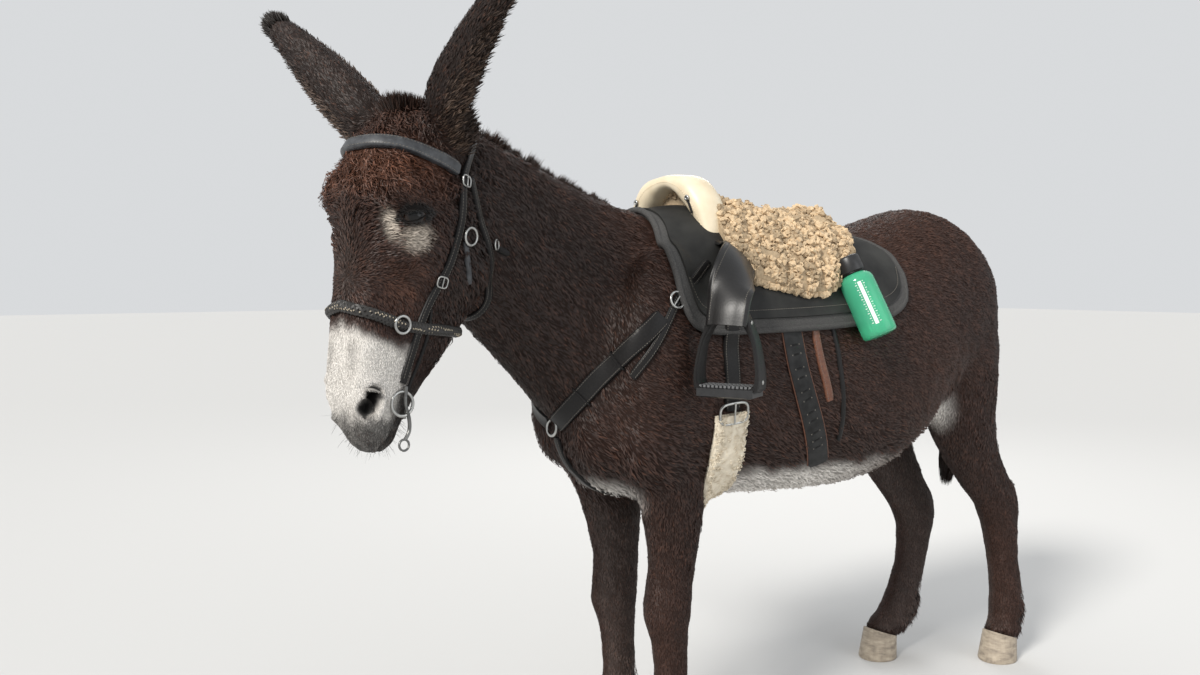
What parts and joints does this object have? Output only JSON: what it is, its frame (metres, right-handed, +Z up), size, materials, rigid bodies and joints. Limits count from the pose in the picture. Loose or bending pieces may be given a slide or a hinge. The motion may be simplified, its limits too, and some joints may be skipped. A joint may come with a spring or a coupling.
{
  "type": "mammoth donkey in western trail tack",
  "caption": "Life-size standing mammoth donkey with long ears, wearing a light western saddle, breast collar, bridle and water bottle, as a still model",
  "frame": {"origin": "the middle of the footprint of the whole donkey's box, on the ground under the belly", "axes": "+Z up; the donkey faces -Y, its left side is toward +X; all four hoof soles stand on z = 0"},
  "size_m": [0.9694, 2.4254, 1.9176],
  "materials": {
    "black_leather": "black leather, worn",
    "nickel": "nickel-plated, worn",
    "green_bottle": "clear green plastic",
    "black_plastic": "black plastic",
    "brown_leather": "brown leather",
    "cinch_fleece": "cream fleece",
    "dark_coat": "near-black brown hair",
    "eye": "glossy dark eye",
    "leg_coat": "short brown hair",
    "coat": "dark chocolate-brown winter coat",
    "hoof_horn": "semi-matte horn",
    "cream_hide": "smooth cream rawhide",
    "pad_felt": "dark grey felt and webbing",
    "fleece": "curly cream and tan sheepskin"
  },
  "bodies": {
    "root": {"belly_strap": "black_leather", "billet_left": "black_leather", "billet_right": "black_leather", "bit_ring_left": "nickel", "bit_ring_right": "nickel", "bottle": "green_bottle", "bottle_cap": "black_plastic", "breast_strap_left": "black_leather", "breast_strap_right": "black_leather", "browband": "black_leather", "brown_strap_left": "brown_leather", "brown_strap_right": "brown_leather", "cheek_ring_left": "nickel", "cheek_ring_right": "nickel", "cheek_strap_left": "black_leather", "cheek_strap_right": "black_leather", "chest_ring": "nickel", "cinch": "cinch_fleece", "curb_strap": "black_leather", "ear_left": "dark_coat", "ear_right": "dark_coat", "eye_left": "eye", "eye_right": "eye", "fender_left": "black_leather", "fender_right": "black_leather", "foreleg_left": "leg_coat", "foreleg_right": "leg_coat", "head": "coat", "hindleg_left": "leg_coat", "hindleg_right": "leg_coat", "hoof_fore_left": "hoof_horn", "hoof_fore_right": "hoof_horn", "hoof_hind_left": "hoof_horn", "hoof_hind_right": "hoof_horn", "latigo_left": "black_leather", "latigo_right": "black_leather", "neck": "coat", "nose_ring_left": "nickel", "nose_ring_right": "nickel", "noseband": "black_leather", "saddle_fork": "cream_hide", "saddle_pad": "pad_felt", "seat_fleece": "fleece", "stirrup_left": "black_leather", "stirrup_right": "black_leather", "tail": "dark_coat", "thong_left": "black_leather", "thong_right": "black_leather", "throat_strap_left": "black_leather", "throat_strap_right": "black_leather", "torso": "coat", "tug_buckle_left": "nickel", "tug_buckle_right": "nickel", "tug_left": "black_leather", "tug_right": "black_leather"}
  },
  "joints": []
}
